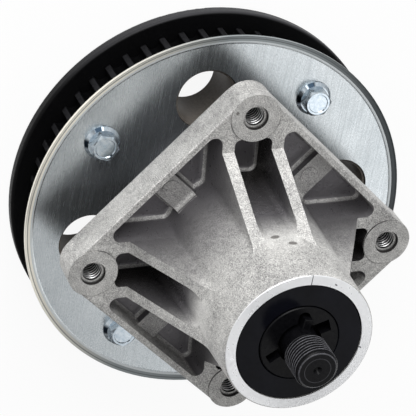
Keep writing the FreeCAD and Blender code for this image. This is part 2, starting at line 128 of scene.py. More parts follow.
# Distance from the nearest deck hole's axis: the place folded into one quarter, less the hole's offset
def deckHoleReach(tree, place):
    folded = addNode(tree, vectorKind, {0: place}, operation="ABSOLUTE")
    middle = (deckHoleOffset, deckHoleOffset, 0.0)
    folded = addNode(tree, vectorKind, {0: folded, 1: middle}, operation="SUBTRACT")
    return axisRadius(tree, folded)


materials = {}

# Die-cast aluminium with random grain tone, painted shade in the pockets, painted light between the ribs'
# upper ends, and a turned nose ring
castLook = {
    "grit": 2.4,  # noise cells in a millimetre: 0.4 mm grit left by tumbling
    "clump": 0.55,  # 2 mm clumps of grit
    "stain": 0.07,  # 14 mm stains
    "dark": "#7b7a7a",
    "pale": "#e6e5e2",
    # painted shade in the pockets
    "pocket": "#737174",
    # painted shade low between the ribs and in the deck holes' mouths
    "deep": "#2f2d2c",
    "paintedRibLight": "#f6f5f2",
    # painted light between the ribs' upper ends
    "scuff": "#f2f1ee",
    "mark": "#4f4b47",
    "ring": "#f6f7f9",
    "ringWorn": "#55575b",
    "steep": (0.32, 0.2),  # upward share of the surface's direction
    "fillet": (0.62, 0.26),  # the same share on the fillets, where the painted shade of the pockets gives way to a painted highlight, and its half width
    # Each pair below runs from where a tone starts to where it is full, in millimetres
    "trayEdge": (48.2, 47.4),  # from the axis, along the flange's sides
    "trayFloor": (-9.4, -12.0),
    "trayTop": -2.0,
    "lowSides": (38.0, -4.0),
    "ribInside": (11.6, 10.2),  # off the diagonal, between the two ribs of a pair
    "ribLightSide": (11.6, 9.0),
    "betweenLow": (34.0, 16.0),
    "ribLightLow": (22.0, 34.0),
    "ribLightHigh": (46.0, 36.0),
    "deepLow": (18.0, -8.0),
    "mouthLow": (-0.1, -0.4),
    "mouthRadius": 4.7,
    "ringLevel": 60.45,
    "ringTurns": 14.0,  # radians in a millimetre: turning marks 0.45 mm apart
    "metallic": 0.65,
    "rough": (0.56, 0.68),
}
material, tree, shader, place = startMaterial("dieCastAluminium")
x, y, z = addNode(tree, splitKind, {0: place}, output=None)
radius = axisRadius(tree, place)
sideX = addNode(tree, mathKind, {0: x}, operation="ABSOLUTE")
sideY = addNode(tree, mathKind, {0: y}, operation="ABSOLUTE")
side = addNode(tree, mathKind, {0: sideX, 1: sideY}, operation="MAXIMUM")
grain = {"Vector": place, "Scale": castLook["grit"], "Detail": 2.0, "Roughness": 0.6}
grain = addNode(tree, noiseKind, grain)
clumps = {"Vector": place, "Scale": castLook["clump"], "Detail": 3.0, "Roughness": 0.6}
clumps = addNode(tree, noiseKind, clumps)
stains = {"Vector": place, "Scale": castLook["stain"], "Detail": 4.0, "Roughness": 0.6}
stains = addNode(tree, noiseKind, stains)
tone = addNode(tree, mathKind, {0: grain, 1: 2.4, 2: -1.2}, operation="MULTIPLY_ADD")
tone = addNode(tree, mathKind, {0: clumps, 1: 0.7, 2: tone}, operation="MULTIPLY_ADD")
tone = addNode(tree, mathKind, {0: stains, 1: 0.9, 2: tone}, operation="MULTIPLY_ADD")
tone = addNode(tree, mathKind, {0: tone, 1: -0.3}, operation="ADD")
cast = {0: tone, 6: linear(castLook["dark"]), 7: linear(castLook["pale"])}
cast = addNode(tree, mixKind, cast, output=2, data_type="RGBA")
# Painted shade in the pockets: below the tray's top, low on steep sides and between ribs, cut back as a
# painted highlight on fillets
start, full = castLook["trayEdge"]
inside = addNode(tree, rangeKind, {0: side, 1: start, 2: full, 3: 0.0, 4: 1.0})
start, full = castLook["trayFloor"]
sunk = addNode(tree, rangeKind, {0: z, 1: start, 2: full, 3: 0.25, 4: 1.0})
under = addNode(tree, mathKind, {0: z, 1: castLook["trayTop"]}, operation="LESS_THAN")
sunk = addNode(tree, mathKind, {0: sunk, 1: under}, operation="MULTIPLY")
facing = addNode(tree, "ShaderNodeTexCoord", output=1)
upward = addNode(tree, splitKind, {0: facing}, output=2)
start, full = castLook["steep"]
steep = addNode(tree, rangeKind, {0: upward, 1: start, 2: full, 3: 0.0, 4: 1.0})
start, full = castLook["lowSides"]
lowSides = addNode(tree, rangeKind, {0: z, 1: start, 2: full, 3: 0.0, 4: 1.0})
lowSides = addNode(tree, mathKind, {0: lowSides, 1: steep}, operation="MULTIPLY")
offset = addNode(tree, mathKind, {0: sideX, 1: sideY}, operation="SUBTRACT")
offset = addNode(tree, mathKind, {0: offset}, operation="ABSOLUTE")
start, full = castLook["ribInside"]
between = addNode(tree, rangeKind, {0: offset, 1: start, 2: full, 3: 0.0, 4: 1.0})
between = addNode(tree, mathKind, {0: between, 1: steep}, operation="MULTIPLY")
start, full = castLook["betweenLow"]
betweenLow = addNode(tree, rangeKind, {0: z, 1: start, 2: full, 3: 0.0, 4: 1.3})
between = addNode(tree, mathKind, {0: between, 1: betweenLow}, operation="MULTIPLY")
pocket = anyOf(tree, [sunk, lowSides, between])
pocket = addNode(tree, mathKind, {0: inside, 1: pocket}, operation="MULTIPLY")
# Painted highlight: the pockets' painted shade is cut on faces that turn up at the fillets' share
share, half = castLook["fillet"]
fillet = addNode(tree, mathKind, {0: upward, 1: share, 2: half}, operation="COMPARE")
fillet = addNode(tree, mathKind, {0: fillet, 1: -0.8, 2: 1.0}, operation="MULTIPLY_ADD")
pocket = addNode(tree, mathKind, {0: fillet, 1: pocket}, operation="MULTIPLY")
# Painted light: paler steep faces between the ribs' upper ends
start, full = castLook["ribLightLow"]
ribLightLow = addNode(tree, rangeKind, {0: z, 1: start, 2: full, 3: 0.0, 4: 0.45})
start, full = castLook["ribLightHigh"]
ribLightHigh = addNode(tree, rangeKind, {0: z, 1: start, 2: full, 3: 0.0, 4: 1.0})
paintedRibLight = addNode(tree, mathKind, {0: ribLightLow, 1: ribLightHigh}, operation="MULTIPLY")
start, full = castLook["ribLightSide"]
ribLightSide = addNode(tree, rangeKind, {0: offset, 1: start, 2: full, 3: 0.0, 4: 1.0})
paintedRibLight = addNode(tree, mathKind, {0: paintedRibLight, 1: ribLightSide}, operation="MULTIPLY")
paintedRibLight = addNode(tree, mathKind, {0: paintedRibLight, 1: steep}, operation="MULTIPLY")
cast = {0: paintedRibLight, 6: cast, 7: linear(castLook["paintedRibLight"])}
cast = addNode(tree, mixKind, cast, output=2, data_type="RGBA")
cast = {0: pocket, 6: cast, 7: linear(castLook["pocket"])}
cast = addNode(tree, mixKind, cast, output=2, data_type="RGBA")
# Painted shade low between the ribs, inside the tray
start, full = castLook["deepLow"]
deep = addNode(tree, rangeKind, {0: z, 1: start, 2: full, 3: 0.0, 4: 0.8})
deep = addNode(tree, mathKind, {0: deep, 1: between}, operation="MULTIPLY", use_clamp=True)
deep = addNode(tree, mathKind, {0: deep, 1: inside}, operation="MULTIPLY")
cast = {0: deep, 6: cast, 7: linear(castLook["deep"])}
cast = addNode(tree, mixKind, cast, output=2, data_type="RGBA")
# Painted shade on the walls of the deck holes' mouths, just below the flange's top
mouthShade = deckHoleReach(tree, place)
mouthShade = addNode(tree, mathKind, {0: mouthShade, 1: castLook["mouthRadius"], 2: 0.3}, operation="COMPARE")
start, full = castLook["mouthLow"]
mouthLow = addNode(tree, rangeKind, {0: z, 1: start, 2: full, 3: 0.0, 4: 0.75})
mouthShade = addNode(tree, mathKind, {0: mouthShade, 1: mouthLow}, operation="MULTIPLY")
cast = {0: mouthShade, 6: cast, 7: linear(castLook["deep"])}
cast = addNode(tree, mixKind, cast, output=2, data_type="RGBA")
# Two oval marks, nicks in the flange's edge and scuffs, where the photo shows them; each place has its reach
ovalPlaces = ((-22.2, 18.8, 34.5), (-18.6, 22.2, 39.6))
ovalReach = (2.0, 2.0, 1.25)
ovals = [spot(tree, place, centre, ovalReach, 0.3) for centre in ovalPlaces]
nickPlaces = {
    (-35.2, 50.9, -1.6): 0.9,
    (-28.6, 51.2, -1.6): 0.7,
    (-24.0, 51.3, -1.6): 1.0,
    (-49.0, 38.6, 0.0): 0.9,
}
nicks = [spot(tree, place, centre, (reach,) * 3, 0.6) for centre, reach in nickPlaces.items()]
scuffTurn = (0.6, 0.9, 0.4)  # radians
scuffScale = (0.25, 2.4, 2.4)  # noise cells in a millimetre: streaks 4 mm long and 0.4 mm wide
scuff = addNode(tree, mappingKind, {0: place, 2: scuffTurn})
scuff = addNode(tree, mappingKind, {0: scuff, 3: scuffScale})
scuff = addNode(tree, noiseKind, {"Vector": scuff, "Scale": 1.0, "Detail": 1.0})
scuff = addNode(tree, rangeKind, {0: scuff, 1: 0.62, 2: 0.68, 3: 0.0, 4: 0.8})
scuffPlaces = {(-28.4, 2.0, 53.0): 6.5, (-20.0, 20.0, 50.0): 4.0}
scuffed = [spot(tree, place, centre, (reach,) * 3, 0.6) for centre, reach in scuffPlaces.items()]
scuffed = anyOf(tree, scuffed)
scuff = addNode(tree, mathKind, {0: scuff, 1: scuffed}, operation="MULTIPLY")
cast = {0: scuff, 6: cast, 7: linear(castLook["scuff"])}
cast = addNode(tree, mixKind, cast, output=2, data_type="RGBA")
marks = anyOf(tree, ovals + nicks)
marks = addNode(tree, mathKind, {0: marks, 1: 0.75}, operation="MULTIPLY")
cast = {0: marks, 6: cast, 7: linear(castLook["mark"])}
cast = addNode(tree, mixKind, cast, output=2, data_type="RGBA")
ring = addNode(tree, mathKind, {0: z, 1: castLook["ringLevel"]}, operation="GREATER_THAN")
turns = addNode(tree, mathKind, {0: radius, 1: castLook["ringTurns"]}, operation="MULTIPLY")
turns = addNode(tree, mathKind, {0: turns}, operation="SINE")
acrossCrack = (0.7672, 0.6414, 0.0)  # the ring's hairline crack runs square to this direction
hairline = addNode(tree, vectorKind, {0: place, 1: acrossCrack}, output=1, operation="DOT_PRODUCT")
hairline = addNode(tree, mathKind, {0: hairline, 1: 0.0, 2: 0.16}, operation="COMPARE")
upper = addNode(tree, mathKind, {0: y, 1: 10.0}, operation="GREATER_THAN")
hairline = addNode(tree, mathKind, {0: hairline, 1: upper}, operation="MULTIPLY")
bruisePlaces = ((-7.9, 24.3, 60.6), (-5.0, 23.0, 60.6), (20.5, 13.4, 60.6))
bruiseReach = (0.8, 0.35, 1.0)
bruises = [spot(tree, place, centre, bruiseReach, 0.5) for centre in bruisePlaces]
worn = anyOf(tree, bruises + [hairline])
ringTint = {0: worn, 6: linear(castLook["ring"]), 7: linear(castLook["ringWorn"])}
ringTint = addNode(tree, mixKind, ringTint, output=2, data_type="RGBA")
tint = addNode(tree, mixKind, {0: ring, 6: cast, 7: ringTint}, output=2, data_type="RGBA")
metal = addNode(tree, mathKind, {0: ring, 1: -0.1, 2: castLook["metallic"]}, operation="MULTIPLY_ADD")
low, high = castLook["rough"]
rough = addNode(tree, rangeKind, {0: clumps, 1: 0.3, 2: 0.7, 3: low, 4: high})
rough = addNode(tree, mathKind, {0: ring, 1: -0.3, 2: rough}, operation="MULTIPLY_ADD")
rough = addNode(tree, mathKind, {0: pocket, 1: -0.3, 2: rough}, operation="MULTIPLY_ADD")
height = addNode(tree, mathKind, {0: grain, 1: 0.7, 2: clumps}, operation="MULTIPLY_ADD")
rest = addNode(tree, mathKind, {0: ring, 1: -1.0, 2: 1.0}, operation="MULTIPLY_ADD")
height = addNode(tree, mathKind, {0: height, 1: rest}, operation="MULTIPLY")
turns = addNode(tree, mathKind, {0: turns, 1: ring}, operation="MULTIPLY")
height = addNode(tree, mathKind, {0: turns, 1: 0.05, 2: height}, operation="MULTIPLY_ADD")
bump = addNode(tree, bumpKind, {"Strength": 0.9, "Distance": 0.0003, "Height": height})
connect(tree, shader, Base_Color=tint, Metallic=metal, Roughness=rough, Normal=bump)
materials["cast_aluminium"] = material

# Tapped aluminium of the deck holes' thread turns: bright cut metal at the crests and painted shade in the
# roots
tappedLook = {
    "crest": "#ffffff",
    # painted shade in the thread roots
    "root": "#1c1b1b",
    "rootShadeRadius": (3.46, 3.56),
    "spot": 1.6,  # noise cells in a millimetre: 0.6 mm cutting marks
    "metallic": 0.85,
    "rough": (0.28, 0.42),
}
material, tree, shader, place = startMaterial("tappedAluminium")
spots = addNode(tree, noiseKind, {"Vector": place, "Scale": tappedLook["spot"], "Detail": 3.0})
reach = deckHoleReach(tree, place)
# Painted shade in the thread roots, by distance from the hole's axis
start, full = tappedLook["rootShadeRadius"]
root = addNode(tree, rangeKind, {0: reach, 1: start, 2: full, 3: 0.0, 4: 1.0})
tint = {0: root, 6: linear(tappedLook["crest"]), 7: linear(tappedLook["root"])}
tint = addNode(tree, mixKind, tint, output=2, data_type="RGBA")
low, high = tappedLook["rough"]
rough = addNode(tree, rangeKind, {0: spots, 1: 0.3, 2: 0.7, 3: low, 4: high})
bump = addNode(tree, bumpKind, {"Strength": 0.2, "Distance": 0.00004, "Height": spots})
connect(tree, shader, Base_Color=tint, Metallic=tappedLook["metallic"], Roughness=rough, Normal=bump)
materials["tapped_aluminium"] = material

# Zinc-plated sheet: fine straight rolling lines and clouded passivation, with painted light and shade on the
# turned-down lip: lit on one side and shaded on the other, a painted highlight at its inner bend and painted
# shade along its outer fold
sheetLook = {
    "rollingAngle": -128.8,
    "rollingScale": (0.05, 1.5, 0.2),  # noise cells in a millimetre: lines 20 mm long and 0.7 mm apart
    "cloud": 0.05,  # 20 mm clouds
    "speck": 2.2,  # 0.45 mm crystals
    "dark": "#aeb6ba",
    "pale": "#e2e7ea",
    "lipLitSide": "#f1ede1",
    "lip": "#8b9193",
    "lipShadedSide": "#3f4446",
    "creaseHighlight": "#c9ced0",
    "foldShade": "#4a4e50",
    "acrossLip": (0.85, 0.5, 0.0),  # the lip's painted light turns to painted shade along this direction
    "litSideEnd": (-66.0, -20.0),
    "shadedSideEnd": (5.0, 50.0),
    "lipRadius": 74.3,
    "creaseHighlightRadius": 74.75,
    "foldShadeRadius": 76.3,
    "rollRadius": (74.1, 77.0),  # the lip's shading is rolled between these by 0.5 mm
    "metallic": 0.95,
    "rough": (0.2, 0.3),
}
material, tree, shader, place = startMaterial("zincPlatedSheet")
radius = axisRadius(tree, place)
turned = (0.0, 0.0, math.radians(sheetLook["rollingAngle"]))
turned = addNode(tree, mappingKind, {0: place, 2: turned})
rolled = addNode(tree, mappingKind, {0: turned, 3: sheetLook["rollingScale"]})
lines = addNode(tree, noiseKind, {"Vector": rolled, "Scale": 1.0, "Detail": 3.0, "Roughness": 0.6})
clouds = {"Vector": place, "Scale": sheetLook["cloud"], "Detail": 5.0, "Roughness": 0.6}
clouds = addNode(tree, noiseKind, clouds)
specks = {"Vector": place, "Scale": sheetLook["speck"], "Detail": 3.0, "Roughness": 0.7}
specks = addNode(tree, noiseKind, specks)
shade = addNode(tree, mathKind, {0: lines, 1: 0.22, 2: -0.11}, operation="MULTIPLY_ADD")
shade = addNode(tree, mathKind, {0: clouds, 1: 1.1, 2: shade}, operation="MULTIPLY_ADD")
shade = addNode(tree, mathKind, {0: specks, 1: 2.0, 2: shade}, operation="MULTIPLY_ADD")
shade = addNode(tree, mathKind, {0: shade, 1: -1.05}, operation="ADD")
tint = {0: shade, 6: linear(sheetLook["dark"]), 7: linear(sheetLook["pale"])}
tint = addNode(tree, mixKind, tint, output=2, data_type="RGBA")
# Painted shade: a dark line along the lip's outer fold
foldShade = addNode(tree, mathKind, {0: radius, 1: sheetLook["foldShadeRadius"], 2: 0.22}, operation="COMPARE")
foldShade = addNode(tree, mathKind, {0: foldShade, 1: 0.7}, operation="MULTIPLY")
lip = addNode(tree, mathKind, {0: radius, 1: sheetLook["lipRadius"]}, operation="GREATER_THAN")
# Painted highlight: a thin bright line at the lip's inner bend
creaseHighlight = addNode(tree, mathKind, {0: radius, 1: sheetLook["creaseHighlightRadius"], 2: 0.4}, operation="COMPARE")
# Painted light on the lip's lit side, fading to the plain lip tone and then to painted shade on the far side
across = {0: place, 1: sheetLook["acrossLip"]}
across = addNode(tree, vectorKind, across, output=1, operation="DOT_PRODUCT")
start, full = sheetLook["litSideEnd"]
pastLitSide = addNode(tree, rangeKind, {0: across, 1: start, 2: full, 3: 0.0, 4: 1.0})
lipTint = {0: pastLitSide, 6: linear(sheetLook["lipLitSide"]), 7: linear(sheetLook["lip"])}
lipTint = addNode(tree, mixKind, lipTint, output=2, data_type="RGBA")
start, full = sheetLook["shadedSideEnd"]
lipShadedSide = addNode(tree, rangeKind, {0: across, 1: start, 2: full, 3: 0.0, 4: 1.0})
# Painted shade on the far side, a painted highlight at the inner bend and painted shade along the outer fold
for mask, colour in ((lipShadedSide, "lipShadedSide"), (creaseHighlight, "creaseHighlight"), (foldShade, "foldShade")):
    lipTint = {0: mask, 6: lipTint, 7: linear(sheetLook[colour])}
    lipTint = addNode(tree, mixKind, lipTint, output=2, data_type="RGBA")
tint = addNode(tree, mixKind, {0: lip, 6: tint, 7: lipTint}, output=2, data_type="RGBA")
metal = addNode(tree, mathKind, {0: lip, 1: -0.45, 2: sheetLook["metallic"]}, operation="MULTIPLY_ADD")
low, high = sheetLook["rough"]
rough = addNode(tree, rangeKind, {0: lines, 1: 0.3, 2: 0.7, 3: low, 4: high})
rough = addNode(tree, mathKind, {0: lip, 1: 0.14, 2: rough}, operation="MULTIPLY_ADD")
inner, outer = sheetLook["rollRadius"]
roll = {0: radius, 1: inner, 2: outer, 3: 0.0, 4: -0.5}
roll = addNode(tree, rangeKind, roll, interpolation_type="SMOOTHSTEP")
height = addNode(tree, mathKind, {0: lines, 1: 0.006, 2: roll}, operation="MULTIPLY_ADD")
bump = addNode(tree, bumpKind, {"Strength": 1.0, "Distance": 0.001, "Height": height})
connect(tree, shader, Base_Color=tint, Metallic=metal, Roughness=rough, Normal=bump)
materials["zinc_plated_steel"] = material

# Bright zinc-plated screws, clear passivated, with a painted reflection: each steep facet in its own tone of
# blue, picked by its direction
screwLook = {
    "dark": "#8ea3b4",
    "pale": "#eef4f8",
    "facet": "#18222c",
    "spot": 0.7,  # 1.4 mm clouds in the plating
    "facetScale": 2.2,  # noise cells across directions, so that each facet falls in one cell
    "facetEdge": (0.42, 0.52),
    "facetTilt": (0.98, 0.8),
    "metallic": 0.95,
    "rough": (0.08, 0.16),
}
material, tree, shader, place = startMaterial("zincPlatedScrew")
spots = addNode(tree, noiseKind, {"Vector": place, "Scale": screwLook["spot"], "Detail": 4.0})
tint = {0: spots, 6: linear(screwLook["dark"]), 7: linear(screwLook["pale"])}
tint = addNode(tree, mixKind, tint, output=2, data_type="RGBA")
facing = addNode(tree, "ShaderNodeTexCoord", output=1)
upward = addNode(tree, splitKind, {0: facing}, output=2)
# Painted reflection: a dark blue tone on steep facets, chosen by each facet's direction
facet = {"Vector": facing, "Scale": screwLook["facetScale"], "Detail": 0.0}
facet = addNode(tree, noiseKind, facet)
start, full = screwLook["facetEdge"]
facet = addNode(tree, rangeKind, {0: facet, 1: start, 2: full, 3: 1.0, 4: 0.0})
start, full = screwLook["facetTilt"]
steep = addNode(tree, rangeKind, {0: upward, 1: start, 2: full, 3: 0.0, 4: 1.0})
facet = addNode(tree, mathKind, {0: facet, 1: steep}, operation="MULTIPLY")
tint = {0: facet, 6: tint, 7: linear(screwLook["facet"])}
tint = addNode(tree, mixKind, tint, output=2, data_type="RGBA")
low, high = screwLook["rough"]
rough = addNode(tree, rangeKind, {0: spots, 1: 0.3, 2: 0.7, 3: low, 4: high})
bump = addNode(tree, bumpKind, {"Strength": 0.2, "Distance": 0.00002, "Height": spots})
connect(tree, shader, Base_Color=tint, Metallic=screwLook["metallic"], Roughness=rough, Normal=bump)
materials["zinc_screw"] = material

# Black coated aluminium casting, with painted highlights on the tooth tips and along one side of the
# flange's rim, thin in the cored tubes
pulleyLook = {
    "tipRadius": 70.62,
    "toothLevel": -46.0,
    "toothHalf": 9.9,
    "rimRadius": (76.3, 77.0),
    "rimHighlightAim": (-0.627, 0.779, 0.0),  # the rim's painted highlight is strongest along this direction
    "rimHighlightReach": (40.0, 76.0),
    "tubeAngle": 52.85,
    "tubeCircle": 51.5,
    "tubeRadius": 12.4,
    "coatDark": "#030304",
    "coat": "#0a0a0b",
    "tubeDark": "#37332f",
    "tube": "#7c756e",
    "tip": "#3a3a3d",
    "rim": "#4b4b4e",
    "peel": 0.9,  # noise cells in a millimetre: the coating's 1 mm orange peel
    "dust": 0.12,  # 8 mm patches of dust
    "specular": 0.1,
    "rough": (0.38, 0.52),
}
material, tree, shader, place = startMaterial("blackCoatedCasting")
z = addNode(tree, splitKind, {0: place}, output=2)
flat = addNode(tree, vectorKind, {0: place, 1: (1.0, 1.0, 0.0)}, operation="MULTIPLY")
radius = axisRadius(tree, place)
peel = addNode(tree, noiseKind, {"Vector": place, "Scale": pulleyLook["peel"], "Detail": 5.0})
dust = {"Vector": place, "Scale": pulleyLook["dust"], "Detail": 5.0, "Roughness": 0.65}
dust = addNode(tree, noiseKind, dust)
circle = pulleyLook["tubeCircle"]
tubes = []
for k in range(4):
    angle = math.radians(pulleyLook["tubeAngle"] + 90 * k)
    centre = (circle * math.cos(angle), circle * math.sin(angle), 0.0)
    tubes.append(spot(tree, flat, centre, (pulleyLook["tubeRadius"],) * 3, 0.01))
bare = anyOf(tree, tubes)
coat = {0: dust, 6: linear(pulleyLook["coatDark"]), 7: linear(pulleyLook["coat"])}
coat = addNode(tree, mixKind, coat, output=2, data_type="RGBA")
core = {0: peel, 6: linear(pulleyLook["tubeDark"]), 7: linear(pulleyLook["tube"])}
core = addNode(tree, mixKind, core, output=2, data_type="RGBA")
# Painted highlight on the tooth tips, within the tooth band
tip = pulleyLook["tipRadius"]
tips = addNode(tree, rangeKind, {0: radius, 1: tip - 0.4, 2: tip - 0.1, 3: 0.0, 4: 0.5})
groove = {0: z, 1: pulleyLook["toothLevel"], 2: pulleyLook["toothHalf"]}
groove = addNode(tree, mathKind, groove, operation="COMPARE")
tips = addNode(tree, mathKind, {0: tips, 1: groove}, operation="MULTIPLY")
tips = addNode(tree, mathKind, {0: tips, 1: peel}, operation="MULTIPLY")
coat = {0: tips, 6: coat, 7: linear(pulleyLook["tip"])}
coat = addNode(tree, mixKind, coat, output=2, data_type="RGBA")
# Painted highlight along the flange's rim, on one side only
inner, outer = pulleyLook["rimRadius"]
edge = addNode(tree, rangeKind, {0: radius, 1: inner, 2: outer, 3: 0.0, 4: 0.5})
rimHighlightShare = {0: place, 1: pulleyLook["rimHighlightAim"]}
rimHighlightShare = addNode(tree, vectorKind, rimHighlightShare, output=1, operation="DOT_PRODUCT")
start, full = pulleyLook["rimHighlightReach"]
rimHighlightShare = addNode(tree, rangeKind, {0: rimHighlightShare, 1: start, 2: full, 3: 0.0, 4: 1.0})
edge = addNode(tree, mathKind, {0: edge, 1: rimHighlightShare}, operation="MULTIPLY")
coat = {0: edge, 6: coat, 7: linear(pulleyLook["rim"])}
coat = addNode(tree, mixKind, coat, output=2, data_type="RGBA")
tint = addNode(tree, mixKind, {0: bare, 6: coat, 7: core}, output=2, data_type="RGBA")
low, high = pulleyLook["rough"]
rough = addNode(tree, rangeKind, {0: peel, 1: 0.3, 2: 0.7, 3: low, 4: high})
bump = addNode(tree, bumpKind, {"Strength": 0.35, "Distance": 0.0001, "Height": peel})
connect(tree, shader, Base_Color=tint, Metallic=0.0, Roughness=rough, Normal=bump)
connect(tree, shader, Specular_IOR_Level=pulleyLook["specular"])
materials["black_coated_casting"] = material

# Blackened (oxide) steel, rubbed bright on the thread crests and the stud's chamfer, with a faced end
steelLook = {
    "studStart": 64.5,
    "endLevel": 78.2,
    "crestRadius": (7.74, 7.92),
    "endRings": {6.95: (0.22, 0.45), 4.9: (0.13, 0.3)},  # radius: half width and share of rubbed metal
    "spot": 0.8,  # 1.2 mm clouds in the oxide
    "specular": 0.12,
    "dark": "#040405",
    "black": "#0f0f12",
    "rubbed": "#8a8a90",
    "rough": (0.26, 0.4),
}
material, tree, shader, place = startMaterial("blackenedSteel")
z = addNode(tree, splitKind, {0: place}, output=2)
radius = axisRadius(tree, place)
spots = addNode(tree, noiseKind, {"Vector": place, "Scale": steelLook["spot"], "Detail": 5.0})
onStud = addNode(tree, mathKind, {0: z, 1: steelLook["studStart"]}, operation="GREATER_THAN")
inner, outer = steelLook["crestRadius"]
crest = addNode(tree, rangeKind, {0: radius, 1: inner, 2: outer, 3: 0.0, 4: 0.7})
onEnd = addNode(tree, mathKind, {0: z, 1: steelLook["endLevel"]}, operation="GREATER_THAN")
endRings = []
for ring, (half, amount) in steelLook["endRings"].items():
    endRing = addNode(tree, mathKind, {0: radius, 1: ring, 2: half}, operation="COMPARE")
    endRing = addNode(tree, mathKind, {0: endRing, 1: onEnd}, operation="MULTIPLY")
    endRings.append(addNode(tree, mathKind, {0: endRing, 1: amount}, operation="MULTIPLY"))
rubbed = anyOf(tree, [crest] + endRings)
rubbed = addNode(tree, mathKind, {0: rubbed, 1: onStud}, operation="MULTIPLY")
rubbed = addNode(tree, mathKind, {0: rubbed, 1: spots}, operation="MULTIPLY")
black = {0: spots, 6: linear(steelLook["dark"]), 7: linear(steelLook["black"])}
black = addNode(tree, mixKind, black, output=2, data_type="RGBA")
tint = {0: rubbed, 6: black, 7: linear(steelLook["rubbed"])}
tint = addNode(tree, mixKind, tint, output=2, data_type="RGBA")
low, high = steelLook["rough"]
rough = addNode(tree, rangeKind, {0: spots, 1: 0.3, 2: 0.7, 3: low, 4: high})
bump = addNode(tree, bumpKind, {"Strength": 0.25, "Distance": 0.00006, "Height": spots})
connect(tree, shader, Base_Color=tint, Metallic=0.0, Roughness=rough, Normal=bump)
connect(tree, shader, Specular_IOR_Level=steelLook["specular"])
materials["blackened_steel"] = material

# Moulded black plastic, glossy, with faint haze
capLook = {
    "dark": "#040406",
    "pale": "#101118",
    "spot": 0.5,  # 2 mm flow marks
    "haze": 0.11,  # 9 mm haze
    "specular": 0.065,
    "rough": (0.1, 0.2),
}
material, tree, shader, place = startMaterial("mouldedBlackPlastic")
spots = addNode(tree, noiseKind, {"Vector": place, "Scale": capLook["spot"], "Detail": 4.0})
haze = addNode(tree, noiseKind, {"Vector": place, "Scale": capLook["haze"], "Detail": 4.0})
tint = {0: haze, 6: linear(capLook["dark"]), 7: linear(capLook["pale"])}
tint = addNode(tree, mixKind, tint, output=2, data_type="RGBA")
low, high = capLook["rough"]
rough = addNode(tree, rangeKind, {0: spots, 1: 0.3, 2: 0.7, 3: low, 4: high})
bump = addNode(tree, bumpKind, {"Strength": 0.15, "Distance": 0.00005, "Height": spots})
connect(tree, shader, Base_Color=tint, Metallic=0.0, Roughness=rough, Normal=bump)
connect(tree, shader, Specular_IOR_Level=capLook["specular"])
materials["cap_plastic"] = material

# Plain parts out of sight: a name, colour, metallic share and two roughness values for each
hiddenSpot = 0.7  # noise cells in a millimetre
hidden = {
    "bearing_steel": ("groundBearingSteel", "#c9ccd0", 1.0, 0.18, 0.28),
    "pressed_steel": ("pressedSteel", "#aeb1b5", 1.0, 0.3, 0.42),
    "plain_steel": ("brightSteel", "#b4b6b9", 1.0, 0.25, 0.38),
    "seal_rubber": ("sealRubber", "#1c1a1a", 0.0, 0.5, 0.65),
}
for key, (name, colour, metal, low, high) in hidden.items():
    material, tree, shader, place = startMaterial(name)
    spots = addNode(tree, noiseKind, {"Vector": place, "Scale": hiddenSpot, "Detail": 4.0})
    rough = addNode(tree, rangeKind, {0: spots, 1: 0.3, 2: 0.7, 3: low, 4: high})
    bump = addNode(tree, bumpKind, {"Strength": 0.15, "Distance": 0.00004, "Height": spots})
    connect(tree, shader, Base_Color=linear(colour), Metallic=metal, Roughness=rough, Normal=bump)
    materials[key] = material

finish = {
    "spindle_housing": "cast_aluminium",
    "belt_guide_plate": "zinc_plated_steel",
    "plate_flange_screws": "zinc_screw",
    "toothed_pulley": "black_coated_casting",
    "spindle_shaft": "blackened_steel",
    "shaft_flange_nut": "zinc_screw",
    "nose_dust_cap": "cap_plastic",
    "shaft_washer": "zinc_screw",
    "bearing_spacer_tube": "plain_steel",
    "pulley_spacer": "plain_steel",
    "pulley_key": "plain_steel",
    "tail_shield": "pressed_steel",
    "bearing_retaining_ring": "pressed_steel",
}
for name, part in parts.items():
    key = finish.get(name)
    if key is None and name.endswith("seals"):
        key = "seal_rubber"
    elif key is None:
        key = "pressed_steel" if name.endswith("cage") else "bearing_steel"
    part.data.materials.clear()
    part.data.materials.append(materials[key])
print("stage: materials")


# A closed ring-shaped mesh from grids of points: rows follow the section's outline, columns go round
def ringMesh(name, rings, material, body):
    points = []
    faces = []
    for ring in rings:
        rows, columns = ring.shape[:2]
        start = len(points)
        points.extend(map(tuple, ring.reshape(-1, 3)))
        for i in range(rows):
            for j in range(columns):
                a = start + i * columns + j
                b = start + i * columns + (j + 1) % columns
                c = start + ((i + 1) % rows) * columns + (j + 1) % columns
                d = start + ((i + 1) % rows) * columns + j
                faces.append((a, b, c, d))
    data = bpy.data.meshes.new(name)
    data.from_pydata(points, [], faces)
    data.update()
    data.materials.append(material)
    data.polygons.foreach_set("use_smooth", np.full(len(faces), True))
    piece = bpy.data.objects.new(name, data)
    bpy.context.scene.collection.objects.link(piece)
    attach(piece, body)


# Thread depth over one pitch, 0 at the root and 1 at the crest: flat crest, straight flanks, flat root
def threadRise(turn, crest, root):
    share = np.abs(((turn % 1.0) + 0.5) % 1.0 - 0.5) * 2.0
    return np.clip((root - share) / (root - crest), 0.0, 1.0)


# Points on circles round an upright axis: the centre plus radius times the angle's cosine and sine
def ringGrid(radius, angle, level, centre=(0.0, 0.0)):
    across = centre[0] + radius * np.cos(angle) + 0 * level
    along = centre[1] + radius * np.sin(angle) + 0 * level
    return np.stack([across, along, level + 0 * angle], axis=2)


